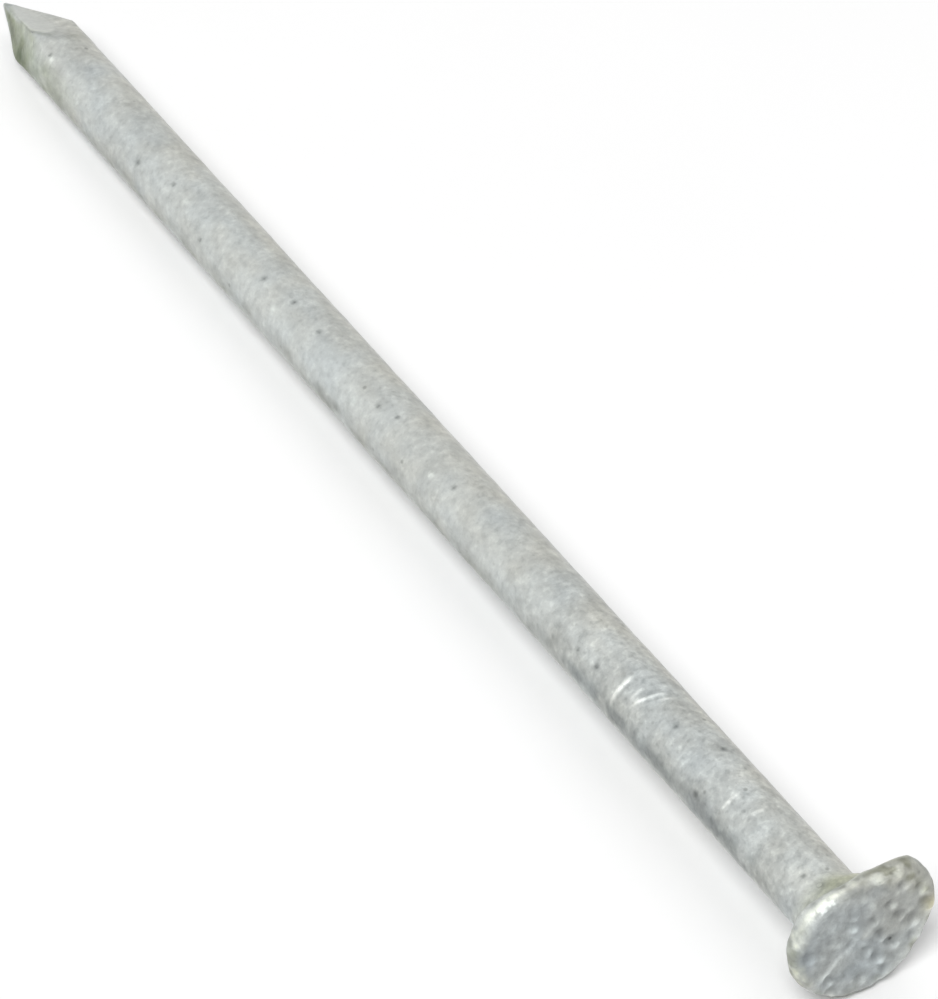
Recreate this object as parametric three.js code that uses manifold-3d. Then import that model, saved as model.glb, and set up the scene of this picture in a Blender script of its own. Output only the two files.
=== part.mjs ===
// Hot-dip galvanised round wire nail, 100 x 4.5 mm. Millimetres, +Z up.
// The nail lies along X: the shank's centreline is the X axis, the point is at the low end, and the struck
// face of the head is the plane X = 0 and looks along +X.
// It has two physical pieces: the cold-headed steel wire, and the zinc that the hot dip leaves all over it.
import * as THREE from "three";
import { ConvexGeometry } from "three/addons/geometries/ConvexGeometry.js";
import { mergeVertices } from "three/addons/utils/BufferGeometryUtils.js";
import Module from "manifold-3d";

const wasm = await Module();
wasm.setup();

// Bare steel.
const WIRE_RADIUS = 2.22;
const SHANK_LENGTH = 100; // from the underside of the head to the tip
const HEAD_RADIUS = 4.83;
const HEAD_DEPTH = 1.8; // from the struck face to the end of the coned underside
const RIM_DEPTH = 1.05; // the head is thinner at its rim
const FACE_ROUNDING = 0.5; // where the struck face turns into the rim
const BACK_ROUNDING = 0.25; // where the rim turns into the underside
const NECK_RADIUS = 2.6; // where the depth of the coned underside is measured
const NECK_FILLET = 1.2;
const HEAD_OFFSET = 0.63; // the heading punch struck a little off centre
const HEAD_OFFSET_ANGLE = THREE.MathUtils.degToRad(22);
// Two places where the steel didn't fill the heading die: how far each flat lies from the head's centre at
// the struck face, and how much closer it comes for each millimetre back.
const RIM_FLATS = [
  { angle: 94, distance: 4.03, slant: 0.48 },
  { angle: -28, distance: 4.63, slant: 0.1 },
];
const FLAT_ROUNDING = 0.25;

// Zinc.
const COAT_THICKNESS = 0.05;
const COAT_CLEARANCE = 0.01; // between the steel and the inner face of the zinc
const NECK_POOL = 2.0; // radius of the zinc that fills the corner under the head
const TIP_RECESS = 0.05; // the steel's tip shows just inside the zinc's opening

// Diamond point: four facets pinched between cutters, whose apex lies off the shank's centreline.
const POINT_ROLL = THREE.MathUtils.degToRad(30); // the first ridge's angle from +Y towards +Z
const RIDGE_LENGTHS = [5.5, 5.95, 4.6, 4.9]; // from the tip to where each ridge runs out on the shank
const RIDGE_ANGLES = [0, 97, 180, 270]; // round the shank from the first ridge
const APEX_BLUNTING = 0.35; // how far the sharp apex would stand beyond the blunt tip
const APEX_OFFSET = { y: -0.39, z: -0.15 }; // before the roll
const FACET_SLOPE = 0.3; // mean slope of the facets to the centreline

// Ridges that the gripping dies leave round the shank, alike on both halves of the die.
const GRIP_BEAD_RADIUS = 0.18;
const GRIP_RIDGES = [
  { fromFace: 23.0, height: 0.07, angle: 135, halfArc: 34, lean: 0 },
  { fromFace: 21.85, height: 0.03, angle: 122, halfArc: 12, lean: 0 },
  { fromFace: 21.1, height: 0.06, angle: 112, halfArc: 30, lean: -22 },
  { fromFace: 20.3, height: 0.04, angle: 92, halfArc: 14, lean: -25 },
  { fromFace: 11.6, height: 0.05, angle: 123, halfArc: 18, lean: 0 },
  { fromFace: 9.75, height: 0.035, angle: 104, halfArc: 15, lean: -11 },
];
const DIE_HALVES = [0, 180]; // degrees round the shank

const ROUND_SEGMENTS = 48;
const ARC_STEPS = 3;
const BEAD_SIDES = 6;
const TIP_X = -(HEAD_DEPTH + SHANK_LENGTH);

// A closed three.js geometry as a manifold-3d solid.
function solidOf(geometry) {
  const bare = geometry.clone();
  bare.deleteAttribute("normal");
  bare.deleteAttribute("uv");
  const merged = mergeVertices(bare);
  return new wasm.Manifold(
    new wasm.Mesh({
      numProp: 3,
      vertProperties: merged.attributes.position.array,
      triVerts: new Uint32Array(merged.index.array),
    }),
  );
}

// A manifold-3d solid as a three.js geometry with flat faces.
function geometryOf(solid) {
  const mesh = solid.getMesh();
  const indexed = new THREE.BufferGeometry();
  indexed.setAttribute("position", new THREE.BufferAttribute(mesh.vertProperties, 3));
  indexed.setIndex(new THREE.BufferAttribute(mesh.triVerts, 1));
  const geometry = indexed.toNonIndexed();
  geometry.computeVertexNormals();
  return geometry;
}

// Points of a turn from one angle to another, about (radius, along), as lathe profile points.
function arc(radius, along, size, from, to) {
  return Array.from({ length: ARC_STEPS + 1 }, (_, i) => {
    const angle = from + ((to - from) * i) / ARC_STEPS;
    return new THREE.Vector2(radius + size * Math.cos(angle), along + size * Math.sin(angle));
  });
}

// Half section of the head and shank, grown all round, from the tip end to the middle of the struck face.
// The fillet under the head touches the shank and the coned underside.
function nailProfile(grow, tipX, fillet) {
  const shank = WIRE_RADIUS + grow;
  const faceCentre = HEAD_RADIUS - FACE_ROUNDING;
  const backCentre = HEAD_RADIUS - BACK_ROUNDING;
  const cone = Math.atan((HEAD_DEPTH - RIM_DEPTH) / (backCentre - NECK_RADIUS));
  const filletRadius = shank + fillet;
  const rise = ((filletRadius - NECK_RADIUS) * Math.sin(cone) - fillet - grow) / Math.cos(cone);
  return [
    new THREE.Vector2(0, tipX),
    new THREE.Vector2(shank, tipX),
    ...arc(filletRadius, rise - HEAD_DEPTH, fillet, Math.PI, Math.PI / 2 + cone),
    ...arc(backCentre, BACK_ROUNDING - RIM_DEPTH, BACK_ROUNDING + grow, cone - Math.PI / 2, 0),
    ...arc(faceCentre, -FACE_ROUNDING, FACE_ROUNDING + grow, 0, Math.PI / 2),
    new THREE.Vector2(0, grow),
  ];
}

// The smaller of two lengths, with the corner between them rounded off.
function softMin(a, b) {
  const sharper = Math.min(a, b);
  return sharper - FLAT_ROUNDING * Math.log1p(Math.exp((sharper - Math.max(a, b)) / FLAT_ROUNDING));
}

// Distance from the shank's centreline to the rim of the head: an off-centre circle with two flats.
function rimRadius(angle, behindFace) {
  const turn = angle - HEAD_OFFSET_ANGLE;
  const sideways = HEAD_OFFSET * Math.sin(turn);
  const circle = HEAD_OFFSET * Math.cos(turn) + Math.sqrt(HEAD_RADIUS ** 2 - sideways ** 2);
  return RIM_FLATS.reduce((radius, flat) => {
    const flatAngle = THREE.MathUtils.degToRad(flat.angle);
    const fromCentre = flat.distance - flat.slant * behindFace;
    const fromAxis = fromCentre + HEAD_OFFSET * Math.cos(flatAngle - HEAD_OFFSET_ANGLE);
    const facing = Math.cos(angle - flatAngle);
    return facing > 0 ? softMin(radius, fromAxis / facing) : radius;
  }, circle);
}

// Moves the round head's vertices out or in to the real rim, fading to nothing at the neck.
function shapeHead(geometry) {
  const position = geometry.attributes.position;
  for (let i = 0; i < position.count; i++) {
    const radius = Math.hypot(position.getY(i), position.getZ(i));
    const share = THREE.MathUtils.clamp((radius - NECK_RADIUS) / (HEAD_RADIUS - NECK_RADIUS), 0, 1);
    if (share > 0) {
      const angle = Math.atan2(position.getZ(i), position.getY(i));
      const behindFace = Math.max(0, -position.getX(i));
      const scale = 1 + (share * (rimRadius(angle, behindFace) - HEAD_RADIUS)) / radius;
      position.setY(i, position.getY(i) * scale);
      position.setZ(i, position.getZ(i) * scale);
    }
  }
  return geometry;
}

// Head and shank with a square-cut end at tipX.
function headAndShank(grow, tipX, fillet) {
  const geometry = new THREE.LatheGeometry(nailProfile(grow, tipX, fillet), ROUND_SEGMENTS);
  geometry.rotateZ(-Math.PI / 2);
  return solidOf(shapeHead(geometry));
}

// The four-sided pyramid that leaves the diamond point, running back well past the head.
function pointPyramid(grow) {
  const apex = new THREE.Vector3(-APEX_BLUNTING, APEX_OFFSET.y, APEX_OFFSET.z);
  const corners = RIDGE_LENGTHS.map((length, i) => {
    const turn = THREE.MathUtils.degToRad(RIDGE_ANGLES[i]);
    const ridgeEnd = new THREE.Vector3(length, WIRE_RADIUS * Math.cos(turn), WIRE_RADIUS * Math.sin(turn));
    const reach = (2 * SHANK_LENGTH) / (length + APEX_BLUNTING);
    return ridgeEnd.sub(apex).multiplyScalar(reach).add(apex);
  });
  const pyramid = new ConvexGeometry([apex, ...corners]);
  pyramid.rotateX(POINT_ROLL);
  pyramid.translate(TIP_X - grow / Math.sin(Math.atan(FACET_SLOPE)), 0, 0);
  return solidOf(pyramid);
}

// A ring that breaks the shank's surface over one arc only, so that its ridge fades out at both ends.
function gripRing(ridge, half, grow) {
  const shift = ridge.height / (1 - Math.cos(THREE.MathUtils.degToRad(ridge.halfArc)));
  const ringRadius = WIRE_RADIUS + ridge.height - GRIP_BEAD_RADIUS - shift;
  const ring = new THREE.TorusGeometry(ringRadius, GRIP_BEAD_RADIUS + grow, BEAD_SIDES, ROUND_SEGMENTS);
  ring.rotateY(Math.PI / 2);
  ring.rotateZ(THREE.MathUtils.degToRad(ridge.lean));
  ring.translate(0, 0, shift);
  ring.rotateX(THREE.MathUtils.degToRad(ridge.angle + half - 90));
  ring.translate(-ridge.fromFace, 0, 0);
  return solidOf(ring);
}

// The whole nail's shape, grown all round, and cut off square at tipX.
function nailShape(grow, tipX, fillet) {
  const rings = GRIP_RIDGES.flatMap((ridge) => DIE_HALVES.map((half) => gripRing(ridge, half, grow)));
  const wire = headAndShank(grow, tipX, fillet);
  return rings.reduce((nail, ring) => nail.add(ring), wire).intersect(pointPyramid(grow));
}

// One piece of cold-headed wire: head, shank and point.
function steelNail() {
  const material = new THREE.MeshStandardMaterial({ color: 0x8d9091, roughness: 0.4, metalness: 1 });
  const mesh = new THREE.Mesh(geometryOf(nailShape(0, TIP_X, NECK_FILLET)), material);
  mesh.name = "steel_nail";
  return mesh;
}

// The zinc skin, open only at the very tip.
function zincCoating() {
  const openEnd = TIP_X - TIP_RECESS;
  const cavity = nailShape(COAT_CLEARANCE, openEnd - TIP_RECESS, NECK_FILLET - COAT_CLEARANCE);
  const outside = nailShape(COAT_THICKNESS, openEnd, NECK_POOL);
  const material = new THREE.MeshStandardMaterial({ color: 0xbfc3c0, roughness: 0.55, metalness: 0.7 });
  const mesh = new THREE.Mesh(geometryOf(outside.subtract(cavity)), material);
  mesh.name = "zinc_coating";
  return mesh;
}

const nail = new THREE.Group();
nail.add(steelNail(), zincCoating());
nail.position.x = -COAT_THICKNESS;

export default nail;
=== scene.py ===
"""Looks of a hot-dip galvanised round wire nail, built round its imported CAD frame.

Blender works in metres. The shape code works in millimetres, in the same frame: the shank's centreline is the
X axis, the struck face looks along +X from X = 0, and the point is at the low end. Angles are measured round
the shank from +Y towards +Z, and the "side" of a point is its angle from ACROSS, so that 90 is UPWARD.
"""

import math

import bpy
import numpy as np
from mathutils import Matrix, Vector


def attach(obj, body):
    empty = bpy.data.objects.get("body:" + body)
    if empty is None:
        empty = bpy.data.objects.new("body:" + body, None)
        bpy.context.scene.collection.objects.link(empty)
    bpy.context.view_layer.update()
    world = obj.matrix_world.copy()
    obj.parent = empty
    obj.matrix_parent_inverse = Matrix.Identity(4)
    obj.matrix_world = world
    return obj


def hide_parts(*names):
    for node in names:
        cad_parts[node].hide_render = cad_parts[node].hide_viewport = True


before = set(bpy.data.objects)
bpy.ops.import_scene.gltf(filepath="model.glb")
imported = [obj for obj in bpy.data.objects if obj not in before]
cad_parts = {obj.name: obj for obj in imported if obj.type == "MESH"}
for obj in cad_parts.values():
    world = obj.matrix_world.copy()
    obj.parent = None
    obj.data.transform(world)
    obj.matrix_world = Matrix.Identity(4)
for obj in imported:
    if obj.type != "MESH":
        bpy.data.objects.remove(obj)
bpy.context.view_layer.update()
MM = 0.001

# ---------------------------------------------------------------- shape of the nail, as in the CAD

COAT = 0.05
COAT_CLEARANCE = 0.012
WIRE_RADIUS = 2.22
STEEL_TIP = -101.85
ZINC_TIP = -101.9
STEEL_FACE = -0.05

HEAD_RADIUS = 4.83
HEAD_DEPTH = 1.8
RIM_DEPTH = 1.05
FACE_ROUNDING = 0.5
BACK_ROUNDING = 0.25
NECK_RADIUS = 2.6
NECK_POOL = 2.0  # radius of the zinc that fills the corner under the head
HEAD_OFFSET = 0.63
HEAD_OFFSET_ANGLE = math.radians(22)
RIM_FLATS = ((94, 4.03, 0.48), (-28, 4.63, 0.1))  # angle, distance from the head's centre, slant
FLAT_ROUNDING = 0.25

POINT_ROLL = math.radians(30)
RIDGE_LENGTHS = (5.5, 5.95, 4.6, 4.9)
RIDGE_ANGLES = (0, 97, 180, 270)
APEX = np.array([-0.35, -0.39, -0.15])
FACET_SLOPE = 0.3
FACET_REACH = max(RIDGE_LENGTHS) + 2  # the facets are left out behind this distance from the tip
CENTRE_LENGTH = 6.5  # where the line of section centres meets the shank's centreline
RIDGE_SOFTNESS = 0.05
UNROLL = np.array([[math.cos(POINT_ROLL), -math.sin(POINT_ROLL)], [math.sin(POINT_ROLL), math.cos(POINT_ROLL)]])
GRAZING = 0.02  # a plane whose normal makes a smaller cosine with a ray doesn't cut the ray

ACROSS = np.array([0.0, math.cos(POINT_ROLL), math.sin(POINT_ROLL)])
UPWARD = np.array([0.0, -math.sin(POINT_ROLL), math.cos(POINT_ROLL)])

# Ridges and grooves that the gripping dies left: X, height, angle, half arc, lean, width.
GRIP_MARKS = (
    (-23.00, 0.070, 135, 36, 0, 0.12),
    (-21.85, 0.045, 122, 13, 0, 0.13),
    (-21.10, 0.065, 112, 32, -22, 0.11),
    (-20.30, 0.035, 92, 15, -25, 0.10),
    (-11.60, 0.050, 123, 20, 0, 0.12),
    (-9.75, 0.035, 104, 16, -11, 0.12),
    (-22.70, -0.024, 135, 34, 0, 0.12),
    (-20.82, -0.022, 112, 26, -22, 0.12),
)
DIE_HALVES = (0, 180)

# ---------------------------------------------------------------- mesh density

AROUND_HEAD = 192
AROUND_SHANK = 96
SHANK_SPACING = ((-3.6, 0.13), (-8.5, 0.07), (-23.5, 0.165), (-95.0, 0.10))  # from X, ring spacing
HEAD_SPACING = 0.11
HEAD_ARC_STEPS = 8
INNER_HEAD_SPACING = 1.2
INNER_ARC_STEPS = 3
INNER_SHANK_RINGS = ((-4.1, -95.0, 24), (-95.5, ZINC_TIP, 18))  # from X, to X, number of rings


def fade(value, start, end):
    """Share that goes evenly from 0 at start to 1 at end, whichever of the two is larger."""
    return np.clip((value - start) / (end - start), 0, 1)


def bump(distance, width):
    return np.exp(-((distance / width) ** 2))


def wrapped(angle):
    return (angle + math.pi) % (2 * math.pi) - math.pi


def soft_min(a, b, softness):
    """The smaller of two lengths, with the corner between them rounded off."""
    return np.minimum(a, b) - softness * np.log1p(np.exp(-np.abs(a - b) / softness))


def rim_radius(angle, behind):
    """Distance from the centreline to the head's rim: an off-centre circle with two flats."""
    turn = angle - HEAD_OFFSET_ANGLE
    radius = HEAD_OFFSET * np.cos(turn) + np.sqrt(HEAD_RADIUS**2 - (HEAD_OFFSET * np.sin(turn)) ** 2)
    for flat_deg, distance, slant in RIM_FLATS:
        flat = math.radians(flat_deg)
        from_axis = distance - slant * behind + HEAD_OFFSET * math.cos(flat - HEAD_OFFSET_ANGLE)
        facing = np.cos(angle - flat)
        reach = from_axis / np.maximum(facing, GRAZING)
        radius = np.where(facing > GRAZING, soft_min(radius, reach, FLAT_ROUNDING), radius)
    return radius


def rounded_path(corners, steps):
    """Points of a path of straight lines, with each inner corner (x, r, rounding) turned into an arc."""
    points = [np.array(corners[0][:2], float)]
    for before, here, after in zip(corners, corners[1:], corners[2:]):
        corner = np.array(here[:2], float)
        rounding = here[2]
        back = np.array(before[:2], float) - corner
        ahead = np.array(after[:2], float) - corner
        back /= np.linalg.norm(back)
        ahead /= np.linalg.norm(ahead)
        half = math.acos(float(np.clip(back @ ahead, -1, 1))) / 2
        middle = corner + (back + ahead) / np.linalg.norm(back + ahead) * rounding / math.sin(half)
        start = corner + back * rounding / math.tan(half) - middle
        end = corner + ahead * rounding / math.tan(half) - middle
        turn = math.acos(float(np.clip(start @ end / rounding**2, -1, 1)))
        for k in range(steps + 1):
            share = k / steps
            arc = (math.sin((1 - share) * turn) * start + math.sin(share * turn) * end) / math.sin(turn)
            points.append(middle + arc)
    points.append(np.array(corners[-1][:2], float))
    return np.array(points)


def resampled(path, spacing):
    """The path's own points, with more put in so that no step is longer than spacing."""
    out = [path[0]]
    for a, b in zip(path, path[1:]):
        count = max(1, math.ceil(np.linalg.norm(b - a) / spacing))
        out.extend(a + (b - a) * k / count for k in range(1, count + 1))
    return np.array(out)


def head_rings(grow, spacing, steps, around):
    """Rings of the head from near the middle of the struck face to the shank just behind the neck."""
    face = STEEL_FACE + grow
    slope = (HEAD_DEPTH - RIM_DEPTH) / (HEAD_RADIUS - BACK_ROUNDING - NECK_RADIUS)
    underside = STEEL_FACE - HEAD_DEPTH - grow
    shank = WIRE_RADIUS + grow
    rim = HEAD_RADIUS + grow
    corners = (
        (face, 0.0, 0),
        (face, rim, FACE_ROUNDING + grow),
        (underside + slope * (rim - NECK_RADIUS), rim, BACK_ROUNDING + grow),
        (underside + slope * (shank - NECK_RADIUS), shank, NECK_POOL),
        (SHANK_SPACING[0][0], shank, 0),
    )
    path = resampled(rounded_path(corners, steps), spacing)
    angle = np.arange(around) * 2 * math.pi / around
    rings = []
    for x, r in path[1:]:
        radius = r + fade(r, NECK_RADIUS, HEAD_RADIUS) * (rim_radius(angle, max(0.0, -x)) - HEAD_RADIUS)
        rings.append(np.stack([np.full(around, x), radius * np.cos(angle), radius * np.sin(angle)], 1))
    return np.array(rings)


def facet_normals():
    """Outward normals of the point's four facets, before the roll. All four planes pass through the apex."""
    ends = [
        np.array([length, WIRE_RADIUS * math.cos(turn), WIRE_RADIUS * math.sin(turn)])
        for length, turn in zip(RIDGE_LENGTHS, map(math.radians, RIDGE_ANGLES))
    ]
    normals = []
    for end, following in zip(ends, ends[1:] + ends[:1]):
        normal = np.cross(end - APEX, following - APEX)
        normals.append(normal / np.linalg.norm(normal) * np.sign(normal[1:] @ (end + following)[1:]))
    return normals


FACETS = facet_normals()


def along_point(x, grow):
    """Distance from the steel's tip to X, on a point whose facets are all moved out by grow."""
    return x - STEEL_TIP + grow / math.sin(math.atan(FACET_SLOPE))


def section(x, angle, grow, softness):
    """One ring of the shank or point at X: a circle cut by the four facets, seen from a centre inside it."""
    shank = WIRE_RADIUS + grow
    along = x - STEEL_TIP
    centre = APEX[1:] * (1 - fade(along, APEX[0], CENTRE_LENGTH))
    ray = np.stack([np.cos(angle), np.sin(angle)], 1)
    towards = ray @ centre
    reach = -towards + np.sqrt(np.maximum(0.0, towards**2 + shank**2 - centre @ centre))
    if along < FACET_REACH:
        for normal in FACETS:
            facing = ray @ normal[1:]
            gap = normal @ (APEX - np.array([along_point(x, grow), *centre]))
            facet = np.where(facing > GRAZING, gap / np.maximum(facing, GRAZING), np.inf)
            reach = soft_min(reach, facet, softness) if softness else np.minimum(reach, facet)
    flat = centre + reach[:, None] * ray
    return np.concatenate([np.full((len(angle), 1), x), flat @ UNROLL.T], 1)


def shank_rings(grow, ring_x, softness):
    angle = np.arange(AROUND_SHANK) * 2 * math.pi / AROUND_SHANK - POINT_ROLL
    return np.array([section(x, angle, grow, softness) for x in ring_x])


def ring_normals(rings):
    """Outward normals of a closed-round grid of points, from its neighbours."""
    along = np.gradient(rings, axis=0)
    around = np.roll(rings, -1, 1) - np.roll(rings, 1, 1)
    normal = np.cross(along, around)
    return normal / np.maximum(np.linalg.norm(normal, axis=2, keepdims=True), 1e-9)


# ---------------------------------------------------------------- clouds of random lumps

LATTICE_CELLS = 64
SEED_SHIFT = 7.3  # moves the clouds of different seeds against each other, in cells

# Lumps of the zinc: height, size along X, size in the other two directions, seed.
SHANK_LUMPS = (
    (0.010, 5.0, 3.0, 11),
    (0.012, 1.5, 1.7, 12),
    (0.010, 0.75, 0.9, 13),
    (0.005, 0.45, 0.6, 14),
)
RIM_LUMPS = (
    (0.030, 1.4, 1.3, 21),
    (0.034, 0.62, 0.62, 22),
    (0.016, 0.40, 0.40, 23),
)
FACE_SWELL = ((0.030, 2.0, 1.5, 31),)
FACE_LUMPS = ((0.060, 1.0, 0.52, 32), (0.040, 1.0, 0.32, 33))  # in the plan of the face

# Clouds in the colour, as tables of the same kind: strength, sizes, seed.
TONE_CLOUD = ((0.07, 2.6, 1.8, 41),)
FINE_CLOUD = ((0.15, 0.8, 0.9, 42), (0.12, 0.36, 0.40, 47))
WARM_CLOUD = ((0.6, 3.2, 2.2, 43), (0.5, 1.4, 1.2, 50))
BROKEN_CLOUD = ((0.5, 1.2, 1.0, 44),)
EDGE_CLOUD = ((0.45, 1.5, 1.2, 45),)
PATCHY_CLOUD = ((1.0, 1.0, 0.8, 46),)
SPOTS_CLOUD = ((1.0, 0.55, 0.5, 48),)
FACE_PLAN_CLOUD = ((0.15, 1.0, 0.42, 51),)  # in the plan of the face
FACE_CLOUD = ((0.10, 0.9, 0.8, 49),)


def cloud(points, seed):
    """Smooth random values from -1 to 1 on a lattice of unit cells."""
    lattice = np.random.default_rng(seed).uniform(-1, 1, (LATTICE_CELLS,) * 3)
    low = np.floor(points).astype(int)
    t = points - low
    t = t * t * t * (t * (t * 6 - 15) + 10)
    total = np.zeros(len(points))
    for corner in range(8):
        step = np.array([corner & 1, corner >> 1 & 1, corner >> 2 & 1])
        weight = np.prod(np.where(step, t, 1 - t), axis=1)
        at = (low + step) % LATTICE_CELLS
        total += weight * lattice[at[:, 0], at[:, 1], at[:, 2]]
    return total


def clouds(points, table):
    """The sum of a table's clouds at each point."""
    return sum(
        height * cloud(points / np.array([along, around, around]) + seed * SEED_SHIFT, seed)
        for height, along, around, seed in table
    )


# ---------------------------------------------------------------- single marks

# What is left of the chequer that the heading punch cut into the face: pits with a raised lip below each, as
# millimetres along ACROSS and UPWARD, depth and half width.
FACE_PITS = (
    (-1.45, -2.75, 0.15, 0.34),
    (0.05, -2.35, 0.17, 0.36),
    (1.30, -2.15, 0.20, 0.38),
    (2.95, -1.85, 0.19, 0.38),
    (-0.15, -1.15, 0.14, 0.32),
    (1.05, -0.85, 0.19, 0.34),
    (2.60, -0.70, 0.14, 0.32),
    (4.60, -0.05, 0.13, 0.30),
    (4.35, -1.45, 0.15, 0.46),
    (1.30, 0.60, 0.13, 0.30),
    (2.60, 0.65, 0.12, 0.28),
    (0.15, 1.65, 0.10, 0.30),
    (3.95, 1.35, 0.13, 0.36),
    (-0.55, 0.45, 0.07, 0.26),
    (-3.30, -1.85, 0.12, 0.32),
    (-2.95, -0.85, 0.11, 0.28),
    (-0.10, -3.60, 0.11, 0.32),
    (2.40, -3.15, 0.11, 0.34),
    (3.10, 2.35, 0.09, 0.40),
    (0.55, 2.45, 0.08, 0.36),
    (-2.80, 2.20, 0.09, 0.34),
    (-1.35, 1.90, 0.05, 0.30),
)
PIT_STRETCH = 1.05  # pits are this much longer along ACROSS
LIP_DROP = 1.65  # a lip's distance below its pit, in half widths of the pit
LIP_STRETCH = 1 / 0.9  # a lip is this much longer along ACROSS than a pit
LIP_WIDTH = 0.72  # of the pit's
LIP_HEIGHT = 0.6  # of the pit's depth

# Raised grains on the face: across, upward, height, half width.
FACE_GRAINS = (
    (0.10, 1.20, 0.06, 0.24),
    (2.80, 0.20, 0.05, 0.20),
    (4.55, -0.75, 0.06, 0.30),
    (2.95, 2.95, 0.05, 0.24),
    (4.15, 2.30, 0.05, 0.24),
    (1.75, 2.75, 0.05, 0.26),
    (1.90, 1.55, 0.04, 0.22),
    (-0.60, 2.65, 0.04, 0.26),
    (-1.20, 0.95, 0.04, 0.22),
    (3.40, 1.10, 0.04, 0.22),
    (-2.30, 1.20, 0.04, 0.22),
)
FACE_GRAIN_STRETCH = 1.5  # the zinc's grain on the face is this much longer along UPWARD
FACE_RAISE = 0.13
STREAK_HEIGHT = 0.085

# Small dark pinholes and bright blobs on the shank: X, side in degrees, half width, height.
NICKS = (
    (-93.15, 100, 0.14, -0.034),
    (-92.80, 103, 0.20, 0.050),
    (-80.80, 112, 0.18, -0.030),
    (-77.10, 92, 0.13, -0.030),
    (-75.30, 96, 0.20, 0.030),
    (-65.85, 86, 0.17, -0.034),
    (-62.75, 76, 0.16, -0.034),
    (-63.50, 108, 0.24, 0.030),
    (-72.30, 122, 0.14, -0.030),
    (-59.50, 78, 0.15, -0.030),
    (-51.70, 88, 0.16, -0.034),
    (-50.00, 77, 0.15, -0.034),
    (-53.50, 112, 0.26, 0.030),
    (-44.70, 98, 0.20, 0.040),
    (-42.80, 86, 0.17, -0.032),
    (-25.40, 108, 0.17, -0.034),
    (-27.30, 112, 0.14, -0.030),
    (-18.15, 80, 0.15, -0.034),
    (-15.10, 45, 0.20, -0.034),
    (-13.90, 128, 0.20, -0.034),
    (-4.20, 88, 0.15, -0.034),
    (-2.95, 80, 0.16, -0.034),
    (-11.15, 138, 0.20, 0.040),
)
TALLEST_BLOB = 0.05
HOLE_DEPTH = 0.03
BLOB_HEIGHT = 0.045

# Runs of zinc: height, angle, half width in radians, X, half length. The first table is at the point, where
# the pinched metal left a flash, and the second under the head, where the zinc fills the corner.
FLASHES = ((0.10, 210, 0.22, -97.6, 0.9),)
NECK_RUNS = ((0.30, 52, 0.50, -2.15, 0.85), (0.13, 74, 0.24, -1.0, 0.5))

DEEPEST = -0.034  # hollows level out here, short of the skin's inner wall


def grip_relief(x, angle):
    total = np.zeros(len(x))
    for mark_x, height, mark_deg, half_deg, lean_deg, width in GRIP_MARKS:
        for half in DIE_HALVES:
            off = wrapped(angle - math.radians(mark_deg + half))
            share = np.clip(1 - (1 - np.cos(off)) / (1 - math.cos(math.radians(half_deg))), 0, 1)
            centre = mark_x + WIRE_RADIUS * np.sin(off) * math.sin(math.radians(lean_deg))
            total += height * share * bump(x - centre, width)
    return total


def runs(x, angle, table):
    """Height of a table's runs of zinc at each point."""
    return sum(
        height * bump(wrapped(angle - math.radians(run_deg)), half_width) * bump(x - run_x, half_length)
        for height, run_deg, half_width, run_x, half_length in table
    )


def nicks(points):
    """How far each point lies in a pinhole or on a blob, from 0 to 1."""
    side = np.arctan2(points @ UPWARD, points @ ACROSS)
    holes = np.zeros(len(points))
    blobs = np.zeros(len(points))
    for nick_x, side_deg, width, height in NICKS:
        around = WIRE_RADIUS * wrapped(side - math.radians(side_deg))
        spot = bump(np.hypot(points[:, 0] - nick_x, around), width)
        if height < 0:
            holes += spot
        else:
            blobs += spot * height / TALLEST_BLOB
    return holes, blobs


def face_grains(points):
    across = points @ ACROSS
    upward = points @ UPWARD
    return sum(
        height * bump(np.hypot(across - grain_across, (upward - grain_up) / FACE_GRAIN_STRETCH), width)
        for grain_across, grain_up, height, width in FACE_GRAINS
    )


def face_marks(points):
    """How deep in a pit each point of the face lies, and how high on a lip."""
    across = points @ ACROSS
    upward = points @ UPWARD
    pits = np.zeros(len(points))
    lips = np.zeros(len(points))
    for pit_across, pit_up, depth, width in FACE_PITS:
        aside = (across - pit_across) / PIT_STRETCH
        pits += depth * bump(np.hypot(aside, upward - pit_up), width)
        lip_up = pit_up - LIP_DROP * width
        lips += depth * bump(np.hypot(aside / LIP_STRETCH, upward - lip_up), LIP_WIDTH * width)
    return pits, lips


def face_streak(points):
    """A raised streak low on the left of the face, which paint_face lights with a painted highlight. It climbs
    and fades to the right.
    """
    across = points @ ACROSS
    middle = -0.45 + 0.55 * fade(across, -3.4, -1.2)
    return bump(points @ UPWARD - middle, 0.16) * (bump(across + 2.85, 0.6) + 0.3 * bump(across + 1.9, 0.5))


def face_plan(points):
    """The face's own coordinates, drawn in so that an even cloud over them is longer along UPWARD."""
    return np.stack([points[:, 0], points @ ACROSS, points @ UPWARD / FACE_GRAIN_STRETCH], 1)


def face_relief(points):
    pits, lips = face_marks(points)
    lumps = clouds(points, FACE_SWELL) + clouds(face_plan(points), FACE_LUMPS)
    marks = LIP_HEIGHT * lips - pits + face_grains(points) + STREAK_HEIGHT * face_streak(points)
    return FACE_RAISE + marks + lumps


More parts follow.
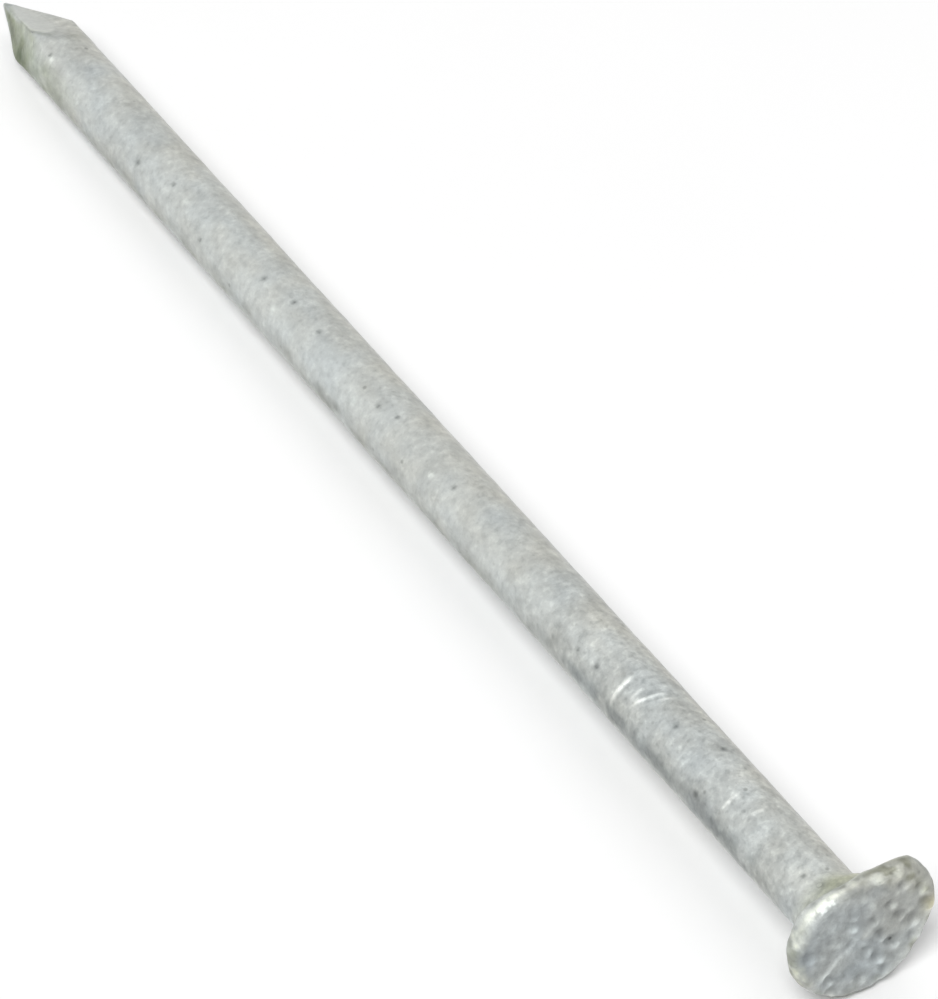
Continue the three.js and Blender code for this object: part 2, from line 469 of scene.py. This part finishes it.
def upper_facet(points):
    """Depth inside the edges of the point's smooth upper facet, less than zero off it."""
    flat = points[:, 1:] @ UNROLL
    place = np.stack([along_point(points[:, 0], COAT), flat[:, 0], flat[:, 1]], 1) - APEX
    below = [-(place @ normal) for normal in FACETS]
    under_skin = WIRE_RADIUS + COAT - np.hypot(flat[:, 0], flat[:, 1])
    inside = np.minimum(np.minimum(below[1], below[3]), under_skin - 0.11) - below[0]
    # The facet runs out on the shank in a round end.
    side = np.degrees(np.arctan2(flat[:, 1], flat[:, 0]))
    run_out = -95.0 - 0.0016 * (side - 70) ** 2
    return np.minimum(inside, 0.25 * (run_out - points[:, 0]))


def relief(points, normals):
    """How far the zinc stands off its even surface."""
    x = points[:, 0]
    angle = np.arctan2(points[:, 2], points[:, 1])
    radius = np.hypot(points[:, 1], points[:, 2])
    holes, blobs = nicks(points)
    rough = 1 - 0.75 * fade(upper_facet(points), 0, 0.06)
    on_shank = rough * (clouds(points, SHANK_LUMPS) - 0.006) + grip_relief(x, angle) + runs(x, angle, FLASHES)
    on_shank += BLOB_HEIGHT * blobs - HOLE_DEPTH * holes
    on_rim = clouds(points, RIM_LUMPS) + 0.012
    lip = 0.05 * bump(radius - 4.25, 0.30) * fade(points @ UPWARD, 0, 4)
    on_face = face_relief(points) + lip
    head = fade(x, -2.4, -1.9)
    face = fade(normals[:, 0] * (x > -1.2), 0.75, 0.95)
    total = (1 - head) * on_shank + head * ((1 - face) * on_rim + face * on_face) + runs(x, angle, NECK_RUNS)
    return np.maximum(total, DEEPEST + 0.004 * np.tanh(total / 0.03))


# ---------------------------------------------------------------- the zinc skin as a mesh

def outer_stations():
    """X of every ring from just behind the neck to the open tip."""
    out = []
    limits = [start for start, _ in SHANK_SPACING[1:]] + [ZINC_TIP]
    for (start, spacing), end in zip(SHANK_SPACING, limits):
        count = max(1, math.ceil((start - end) / spacing))
        out.extend(start + (end - start) * k / count for k in range(count))
    return out + [ZINC_TIP]


def displaced(rings):
    points = rings.reshape(-1, 3)
    normals = ring_normals(rings).reshape(-1, 3)
    return (points + normals * relief(points, normals)[:, None]).reshape(rings.shape)


def grid_faces(first, second, count, flip=False):
    """Quads between two rings of the same count, given each ring's first vertex."""
    faces = []
    for k in range(count):
        following = (k + 1) % count
        face = (first + k, first + following, second + following, second + k)
        faces.append(face[::-1] if flip else face)
    return faces


class SkinMesh:
    """Collects rings of vertices and the faces between them."""

    def __init__(self):
        self.vertices = []
        self.faces = []

    def ring(self, points):
        start = len(self.vertices)
        self.vertices.extend(map(tuple, points))
        return start

    def cap(self, centre, ring_start, count, flip):
        middle = self.ring([centre])
        for k in range(count):
            face = (middle, ring_start + (k + 1) % count, ring_start + k)
            self.faces.append(face[::-1] if flip else face)

    def halve(self, fine, coarse, count):
        """Triangles from a ring of 2 x count vertices to one of count vertices."""
        for k in range(count):
            a, b, c = fine + 2 * k, fine + 2 * k + 1, fine + (2 * k + 2) % (2 * count)
            p, q = coarse + k, coarse + (k + 1) % count
            self.faces += [(p, a, b), (p, b, q), (q, b, c)]


def skin_mesh():
    skin = SkinMesh()
    outer_head = displaced(head_rings(COAT, HEAD_SPACING, HEAD_ARC_STEPS, AROUND_HEAD))
    outer_shank = displaced(shank_rings(COAT, outer_stations(), RIDGE_SOFTNESS))
    inner_head = head_rings(COAT_CLEARANCE, INNER_HEAD_SPACING, INNER_ARC_STEPS, AROUND_SHANK)
    inner_x = np.concatenate([np.linspace(*limits) for limits in INNER_SHANK_RINGS])
    inner_shank = shank_rings(COAT_CLEARANCE, inner_x, 0)

    starts = [skin.ring(ring) for ring in outer_head]
    skin.cap(outer_head[0].mean(0), starts[0], AROUND_HEAD, flip=False)
    for a, b in zip(starts, starts[1:]):
        skin.faces += grid_faces(a, b, AROUND_HEAD)
    # The shank's own rings begin one step behind the head's last ring.
    shank_starts = [skin.ring(ring) for ring in outer_shank[1:]]
    skin.halve(starts[-1], shank_starts[0], AROUND_SHANK)
    for a, b in zip(shank_starts, shank_starts[1:]):
        skin.faces += grid_faces(a, b, AROUND_SHANK)

    inner_starts = [skin.ring(ring) for ring in inner_head] + [skin.ring(ring) for ring in inner_shank]
    skin.cap((inner_head[0][0][0], 0.0, 0.0), inner_starts[0], AROUND_SHANK, flip=True)
    for a, b in zip(inner_starts, inner_starts[1:]):
        skin.faces += grid_faces(a, b, AROUND_SHANK, flip=True)
    skin.faces += grid_faces(shank_starts[-1], inner_starts[-1], AROUND_SHANK)
    return skin


def build_skin():
    skin = skin_mesh()
    mesh = bpy.data.meshes.new("galvanised_skin")
    mesh.from_pydata([tuple(c * MM for c in v) for v in skin.vertices], [], skin.faces)
    mesh.validate()
    mesh.update()
    mesh.polygons.foreach_set("use_smooth", [True] * len(mesh.polygons))
    piece = bpy.data.objects.new("galvanised_skin", mesh)
    bpy.context.scene.collection.objects.link(piece)
    return piece, np.array(skin.vertices)


# ---------------------------------------------------------------- colour of the zinc

ZINC_GREY = np.array([0.545, 0.567, 0.545])
WARMTH = np.array([0.022, -0.006, -0.045])
# Painted highlight: the upper facet, which faces the lamps, is painted paler than the grey.
FACET_HIGHLIGHT_TINT = np.array([1.13, 1.115, 1.09])  # of the point's smooth upper facet, against the grey
# Painted shade over the struck face, which faces away from the lamps, with a cooler tint.
FACE_SHADE_AND_TINT = (0.66, 0.68, 0.705)

# Painted light and shade in stripes along the nail by side: a painted highlight at 106, a painted dark
# reflection at 62 and painted shade on the underside at 152. Change of tone, side in degrees, half width.
LIGHT_AND_SHADE_STRIPES = ((0.07, 106, 18), (-0.05, 62, 20), (-0.10, 152, 18))

# Stains, and in the first row painted shade along the underside at the tip, each with a soft edge: X, half
# length, side in degrees, half width, strength, how patchy, tint.
STAINS_AND_SHADE = (
    (-99.3, 0.9, 166, 13, 1.0, 0.0, (0.55, 0.57, 0.52)),
    (-96.6, 0.9, 164, 17, 1.0, 0.0, (0.42, 0.49, 0.38)),
    (-93.8, 0.7, 42, 20, 1.0, 0.0, (0.88, 0.87, 0.83)),
    (-57.0, 6.0, 150, 16, 0.6, 0.7, (0.70, 0.70, 0.69)),
    (-13.4, 1.8, 130, 15, 1.0, 0.0, (0.72, 0.72, 0.72)),
)


class ZincPaint:
    """Linear colours being painted on the skin's vertices, and the measures that the patterns follow."""

    def __init__(self, points):
        self.points = points
        self.x = points[:, 0]
        self.angle = np.arctan2(points[:, 2], points[:, 1])
        self.radius = np.hypot(points[:, 1], points[:, 2])
        self.side = np.degrees(wrapped(self.angle - POINT_ROLL))
        self.patchy = clouds(points, PATCHY_CLOUD)
        self.mottled = 0.55 + 0.3 * fade(self.x, -37, -25)
        self.head = fade(self.x, -1.1, -0.75)
        self.colour = None

    def stain_and_light(self, mask, tint):
        """Multiplies the colour by a tint where the mask is 1, and by less where it is lower: used for stains
        and for painted light and shade.
        """
        self.colour = self.colour * (1 + np.clip(mask, 0, 1)[:, None] * (np.array(tint) - 1))

    def stripe(self, side_deg, width):
        return bump(self.side - side_deg, width)


def paint_base(paint):
    """Pale grey with cloudy patches, painted light and shade in stripes by side, and a painted warm reflection
    that makes it warmer on the right.
    """
    points, x, side = paint.points, paint.x, paint.side
    tone = 1 + clouds(points, TONE_CLOUD) + clouds(points, FINE_CLOUD) * paint.mottled
    # The stripes by side add a painted highlight and painted shade along the whole nail.
    tone += sum(change * paint.stripe(side_deg, width) for change, side_deg, width in LIGHT_AND_SHADE_STRIPES)
    # The clouds vary the warmth at random; the share by side is a painted warm reflection on the side towards
    # ACROSS.
    warm = clouds(points, WARM_CLOUD) + 1.1 * fade(np.abs(side), 70, 25) - 0.15
    warm = np.clip(warm, -1, 1.3)
    grey = ZINC_GREY * (1 + 0.05 * fade(x, -20, -95))[:, None]
    paint.colour = grey * tone[:, None] * (1 + warm[:, None] * WARMTH)
    return grey


def paint_point(paint, grey):
    """A smooth upper facet painted pale as a painted highlight, with a painted highlight on its edge and a
    painted shadow line beside it, olive below it and darkest at the lower corner.
    """
    x, side = paint.x, paint.side
    facet = upper_facet(paint.points)
    on_facet = fade(facet, 0, 0.10) * (x < -92)
    low_edge = fade(side, 55, 80) * (x < -92)
    run_out = fade(x, -99.8, -96.8)
    # Painted highlight: the upper facet is painted paler.
    paint.colour += on_facet[:, None] * (grey * FACET_HIGHLIGHT_TINT - paint.colour) * 0.7
    # Painted highlight along the facet's lower edge, and just beyond it a painted shadow line under the ridge.
    paint.stain_and_light(bump(facet - 0.07, 0.06) * low_edge * run_out, (1.13, 1.13, 1.09))
    paint.stain_and_light(bump(facet + 0.07, 0.07) * low_edge * (0.2 + 0.8 * run_out), (0.76, 0.77, 0.73))
    uneven = 0.85 + 0.35 * paint.patchy
    olive_from = 94 + 80 * fade(x, -98, -102)
    below = fade(side, olive_from, olive_from + 12) * (1 - on_facet)
    paint.stain_and_light(below * fade(x, -94.2, -95.4) * uneven, (0.72, 0.745, 0.60))
    lower = fade(x, -101.4, -100.2) * fade(side, 104, 128) * fade(x, -88, -92.5)
    paint.stain_and_light(lower * uneven, (0.72, 0.75, 0.65))
    return on_facet


def paint_shank(paint):
    """A painted dark reflection low on the head's half, painted shade on the underside, painted glints on the
    crests of the grip marks with painted shadow in their grooves, and the nicks, with a painted glint on the
    blobs.
    """
    x, patchy = paint.x, paint.patchy
    # Painted dark reflection along the lower side of the shank, towards the head.
    reflected_dark_band = fade(x, -37, -25) * fade(x, -3.5, -7.5)
    paint.stain_and_light(reflected_dark_band * paint.stripe(145, 23) * (0.85 + 0.5 * patchy), (0.50, 0.52, 0.53))
    # Painted shade on the underside, which faces the floor.
    shaded_underside = paint.stripe(168, 24) * fade(x, -26, -36)
    paint.stain_and_light(shaded_underside * (0.6 + 0.5 * patchy), (0.70, 0.70, 0.66))
    # Painted glints on the crests of the grip marks and painted shadow in their grooves.
    grip_glints_and_shadows = np.where((x < -5) & (x > -26), grip_relief(x, paint.angle), 0)
    paint.stain_and_light(grip_glints_and_shadows / 0.045, (1.50, 1.48, 1.46))
    paint.stain_and_light(-grip_glints_and_shadows / 0.03, (0.82, 0.82, 0.82))
    holes, blobs = nicks(paint.points)
    on_shank = x < -2.4
    paint.stain_and_light(1.2 * holes * on_shank, (0.45, 0.46, 0.46))
    # Painted glint on the raised blobs.
    paint.stain_and_light(1.2 * blobs * on_shank, (1.52, 1.54, 1.52))


def paint_neck(paint):
    x, side = paint.x, paint.side
    broken = 0.75 + clouds(paint.points, BROKEN_CLOUD)
    neck = fade(x, -3.6, -2.6) * fade(x, -0.75, -1.25)
    paint.stain_and_light(neck * fade(side, -10, 50) * (0.8 + 0.5 * paint.patchy), (0.88, 0.885, 0.81))
    paint.stain_and_light(bump(x + 2.2, 0.9) * paint.stripe(62, 28) * broken, (0.93, 0.94, 0.80))


def paint_rim(paint, rim):
    """A cream rim with a painted highlight along the upper side of its rounding, darker to the right."""
    patchy = paint.patchy
    spots = clouds(paint.points, SPOTS_CLOUD)
    rounding = bump(paint.x + 0.36, 0.24)
    highlight_side = paint.stripe(105, 25)
    # Painted highlight on the upper side of the rim's rounding.
    paint.stain_and_light(rounding * paint.head * highlight_side * (1.0 + 0.5 * spots), (1.66, 1.64, 1.53))
    paint.stain_and_light(rim * paint.stripe(60, 26) * (0.3 + 0.7 * patchy + 0.9 * spots), (1.36, 1.36, 1.30))
    paint.stain_and_light(rim * paint.stripe(160, 40) * (0.2 + 0.6 * patchy + 1.2 * spots), (1.24, 1.22, 1.10))
    paint.stain_and_light(rim * paint.stripe(158, 30), (0.88, 0.88, 0.82))
    dark = np.clip(0.15 - 0.6 * patchy - 1.6 * spots, 0, 1)
    paint.stain_and_light(rim * (1 - 0.85 * highlight_side) * dark, (0.62, 0.62, 0.55))
    paint.stain_and_light(rim * paint.stripe(5, 42), (0.74, 0.75, 0.73))


def paint_face(paint, on_face, face):
    """A cooler face under painted shade, with painted shade in the pits and painted highlights on the lips, the
    streak and the grains.
    """
    points = paint.points
    pits, lips = face_marks(points)
    # Painted shade over the whole face, with a cooler tint.
    paint.stain_and_light(face, FACE_SHADE_AND_TINT)
    # Painted shade in the pits and painted highlights on the lips below them.
    paint.stain_and_light(on_face * fade(pits, 0, 0.17), (0.62, 0.62, 0.62))
    paint.stain_and_light(on_face * fade(lips, 0, 0.15), (1.62, 1.62, 1.62))
    # Painted highlights on the raised streak and on the grains.
    paint.stain_and_light(on_face * face_streak(points), (1.80, 1.80, 1.80))
    paint.stain_and_light(on_face * face_grains(points) / 0.05, (1.42, 1.43, 1.42))
    soft = clouds(face_plan(points), FACE_PLAN_CLOUD) + clouds(points, FACE_CLOUD)
    paint.colour *= 1 + (face * soft)[:, None]
    # One pale warm patch near the right edge.
    patch = bump(np.hypot(points @ ACROSS - 4.55, (points @ UPWARD + 2.1) * 0.8), 0.5)
    paint.stain_and_light(on_face * patch, (1.35, 1.28, 1.15))


def zinc_colours(points):
    """Linear colour at each vertex, and how mottled the zinc is there."""
    paint = ZincPaint(points)
    grey = paint_base(paint)
    on_facet = paint_point(paint, grey)
    paint_shank(paint)
    # The first row paints shade on the underside at the tip; the other rows are stains.
    for patch_x, half_length, side_deg, width, strength, patchiness, tint in STAINS_AND_SHADE:
        mask = bump(paint.x - patch_x, half_length) * paint.stripe(side_deg, width)
        paint.stain_and_light(mask * (strength + patchiness * paint.patchy), tint)
    paint_neck(paint)
    on_face = fade(paint.x, -0.35, -0.05)
    edge = 4.5 + clouds(points, EDGE_CLOUD)
    face = on_face * fade(paint.radius, edge, edge - 0.8)
    paint_rim(paint, paint.head * (1 - face))
    paint_face(paint, on_face, face)
    return paint.colour, paint.mottled * (1 - 0.6 * on_facet) * (1 - 0.15 * on_face)


# ---------------------------------------------------------------- materials

class Nodes:
    """Short calls for making and linking shader nodes."""

    def __init__(self, material):
        material.use_nodes = True
        self.tree = material.node_tree
        self.tree.nodes.clear()

    def add(self, kind, inputs=(), **settings):
        node = self.tree.nodes.new(kind)
        for key, value in settings.items():
            setattr(node, key, value)
        for socket, value in dict(inputs).items():
            self.fill(node.inputs[socket], value)
        return node

    def fill(self, socket, value):
        if isinstance(value, bpy.types.NodeSocket):
            self.tree.links.new(value, socket)
        else:
            socket.default_value = value

    def stretched(self, scale):
        """The object's own coordinates, scaled. The same scale three times over is so many units in a metre."""
        coordinates = self.add("ShaderNodeTexCoord").outputs["Object"]
        return self.add("ShaderNodeMapping", {"Vector": coordinates, "Scale": scale}).outputs["Vector"]

    def noise(self, vector, scale, detail, roughness=0.5):
        inputs = {"Vector": vector, "Scale": scale, "Detail": detail, "Roughness": roughness}
        return self.add("ShaderNodeTexNoise", inputs).outputs["Fac"]

    def times(self, a, b):
        return self.add("ShaderNodeMath", {0: a, 1: b}, operation="MULTIPLY").outputs[0]

    def ramp(self, value, low, high, to_low=0.0, to_high=1.0):
        inputs = {"Value": value, "From Min": low, "From Max": high, "To Min": to_low, "To Max": to_high}
        return self.add("ShaderNodeMapRange", inputs, clamp=True).outputs["Result"]

    def mix(self, share, a, b, blend="MIX"):
        node = self.add("ShaderNodeMix", data_type="RGBA", blend_type=blend)
        self.fill(node.inputs[0], share)
        self.fill(node.inputs[6], a)
        self.fill(node.inputs[7], b)
        return node.outputs[2]


EVEN_MM = (1000, 1000, 1000)  # one unit of a texture is a millimetre
RINGED_MM = (1250, 1000, 1000)  # the same, drawn in along the nail

# Flecks of the zinc, the pale ones painted glints and the dull ones dark specks: stretch, noise scale,
# roughness, and for the pale and the dull flecks the noise value where they begin and where they are full, the
# strength and the tint.
FLECKS = (
    (RINGED_MM, 1.9, 0.55, (
        (0.54, 0.72, 0.50, (1.45, 1.45, 1.42, 1)),
        (0.47, 0.27, 0.60, (0.62, 0.64, 0.65, 1)),
    )),
    (EVEN_MM, 2.8, 0.5, (
        (0.55, 0.70, 0.45, (1.35, 1.35, 1.34, 1)),
        (0.45, 0.30, 0.50, (0.66, 0.66, 0.65, 1)),
    )),
)
DOT_SCALE = 0.62
DOT_RADII = (0.11, 0.05)  # where a dark dot begins and where it is full
DOT_CHOICE = (0.50, 0.65)  # a cell's random value where it begins to hold a dot and where the dot is full
DOT_STRENGTH = 0.6
DOT_TINT = (0.45, 0.45, 0.44, 1)


def zinc_material():
    material = bpy.data.materials.new("dull_zinc")
    nodes = Nodes(material)
    painted = nodes.add("ShaderNodeAttribute", attribute_name="zinc_colour")
    colour = painted.outputs["Color"]
    mottled = painted.outputs["Alpha"]
    for stretch, scale, roughness, sides in FLECKS:
        flecks = nodes.noise(nodes.stretched(stretch), scale, 2, roughness)
        # The pale flecks are painted glints, the dull ones dark specks.
        for begins, full, strength, tint in sides:
            share = nodes.times(nodes.times(nodes.ramp(flecks, begins, full), mottled), strength)
            colour = nodes.mix(share, colour, tint, "MULTIPLY")

    even = nodes.stretched(EVEN_MM)
    cells = nodes.add("ShaderNodeTexVoronoi", {"Vector": even, "Scale": DOT_SCALE, "Randomness": 1.0})
    dot = nodes.ramp(cells.outputs["Distance"], *DOT_RADII)
    drawn = nodes.add("ShaderNodeSeparateColor", {0: cells.outputs["Color"]}).outputs[0]
    share = nodes.times(nodes.times(dot, nodes.ramp(drawn, *DOT_CHOICE)), DOT_STRENGTH)
    colour = nodes.mix(share, colour, DOT_TINT, "MULTIPLY")

    roughness = nodes.ramp(nodes.noise(even, 0.9, 4, 0.6), 0.3, 0.7, 0.36, 0.52)
    grain = nodes.noise(even, 2.0, 2, 0.5)
    height = nodes.add("ShaderNodeBump", {"Height": grain, "Strength": 1.0, "Distance": 0.08 * MM})
    shader = nodes.add(
        "ShaderNodeBsdfPrincipled",
        {"Base Color": colour, "Metallic": 0.2, "Roughness": roughness, "Normal": height.outputs["Normal"]},
    )
    nodes.add("ShaderNodeOutputMaterial", {"Surface": shader.outputs["BSDF"]})
    return material


def steel_material():
    material = bpy.data.materials.new("drawn_steel")
    nodes = Nodes(material)
    lines = nodes.noise(nodes.stretched((150, 4000, 4000)), 1.0, 3, 0.6)
    colour = nodes.mix(lines, (0.30, 0.30, 0.31, 1), (0.42, 0.42, 0.43, 1))
    roughness = nodes.ramp(lines, 0.3, 0.7, 0.32, 0.48)
    height = nodes.add("ShaderNodeBump", {"Height": lines, "Strength": 0.6, "Distance": 0.01 * MM})
    shader = nodes.add(
        "ShaderNodeBsdfPrincipled",
        {"Base Color": colour, "Metallic": 1.0, "Roughness": roughness, "Normal": height.outputs["Normal"]},
    )
    nodes.add("ShaderNodeOutputMaterial", {"Surface": shader.outputs["BSDF"]})
    return material


def floor_material():
    material = bpy.data.materials.new("pale_floor")
    nodes = Nodes(material)
    mottle = nodes.noise(nodes.stretched((40, 40, 40)), 1.0, 2)
    colour = nodes.mix(mottle, (0.955, 0.955, 0.955, 1), (0.975, 0.975, 0.975, 1))
    shader = nodes.add("ShaderNodeBsdfDiffuse", {"Color": colour})
    nodes.add("ShaderNodeOutputMaterial", {"Surface": shader.outputs["BSDF"]})
    return material


# ---------------------------------------------------------------- build

skin, skin_points = build_skin()
colours = np.ones((len(skin_points), 4), np.float32)
colours[:, :3], colours[:, 3] = zinc_colours(skin_points)
layer = skin.data.color_attributes.new("zinc_colour", "FLOAT_COLOR", "POINT")
layer.data.foreach_set("color", colours.ravel())
skin.data.materials.append(zinc_material())
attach(skin, "root")
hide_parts("zinc_coating")

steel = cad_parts["steel_nail"]
steel.data.materials.clear()
steel.data.materials.append(steel_material())

# ---------------------------------------------------------------- floor, light and camera

FLOOR_SIZE = 4.0
FLOOR_GAP = 0.01 * MM
HEAD_BEFORE = -3  # the floor may touch the head from this X on
SHANK_BEHIND = -60  # and the shank up to this X

AIM = Vector((-0.043306, 0.000415, 0.000011))
CAMERA_AZIMUTH = math.radians(58.68)
CAMERA_ELEVATION = math.radians(42.12)
CAMERA_DISTANCE = 0.3965
LENS = 233.8
SENSOR_WIDTH = 36
CLIP = (0.01, 20)

# Name, direction from the nail, distance, size, power.
SOFTBOXES = (
    ("key", (0.36, -0.42, 0.83), 1.5, 0.8, 15.8),
    ("top", (-0.25, 0.45, 0.86), 1.5, 1.4, 5.8),
    ("back", (-0.63, -0.55, 0.54), 1.5, 1.2, 1.0),
)
WORLD_STRENGTH = 0.29


def resting_plane(points):
    """Height and slope along X of a floor that the head's rim and the end of the shank both touch."""
    head = points[points[:, 0] > HEAD_BEFORE * MM]
    low_head = head[np.argmin(head[:, 2])]
    shank = points[points[:, 0] < SHANK_BEHIND * MM]
    slope = ((shank[:, 2] - low_head[2]) / (shank[:, 0] - low_head[0])).max()
    return (points[:, 2] - slope * points[:, 0]).min(), slope


def build_floor():
    height, slope = resting_plane(skin_points * MM)
    half = FLOOR_SIZE / 2
    corners = [(sx * half, sy * half, slope * sx * half) for sx, sy in ((-1, -1), (1, -1), (1, 1), (-1, 1))]
    mesh = bpy.data.meshes.new("floor")
    mesh.from_pydata(corners, [], [(0, 1, 2, 3)])
    floor = bpy.data.objects.new("floor", mesh)
    floor.location = (0, 0, height - FLOOR_GAP)
    mesh.materials.append(floor_material())
    bpy.context.scene.collection.objects.link(floor)


def softbox(name, direction, distance, size, power):
    data = bpy.data.lights.new(name, "AREA")
    data.shape = "DISK"
    data.size = size
    data.energy = power
    lamp = bpy.data.objects.new(name, data)
    towards = Vector(direction).normalized()
    lamp.location = AIM + towards * distance
    lamp.rotation_euler = towards.to_track_quat("Z", "Y").to_euler()
    bpy.context.scene.collection.objects.link(lamp)


def build_world():
    world = bpy.data.worlds.new("studio")
    world.use_nodes = True
    background = world.node_tree.nodes["Background"]
    background.inputs["Color"].default_value = (1, 1, 1, 1)
    background.inputs["Strength"].default_value = WORLD_STRENGTH
    bpy.context.scene.world = world


def build_camera():
    data = bpy.data.cameras.new("camera")
    data.lens = LENS
    data.sensor_width = SENSOR_WIDTH
    data.clip_start, data.clip_end = CLIP
    camera = bpy.data.objects.new("camera", data)
    back = Vector((
        math.sin(CAMERA_AZIMUTH) * math.cos(CAMERA_ELEVATION),
        -math.cos(CAMERA_AZIMUTH) * math.cos(CAMERA_ELEVATION),
        math.sin(CAMERA_ELEVATION),
    ))
    camera.location = AIM + back * CAMERA_DISTANCE
    camera.rotation_euler = back.to_track_quat("Z", "Y").to_euler()
    bpy.context.scene.collection.objects.link(camera)
    bpy.context.scene.camera = camera


build_floor()
for box in SOFTBOXES:
    softbox(*box)
build_world()
build_camera()
bpy.context.scene.view_settings.view_transform = "Standard"
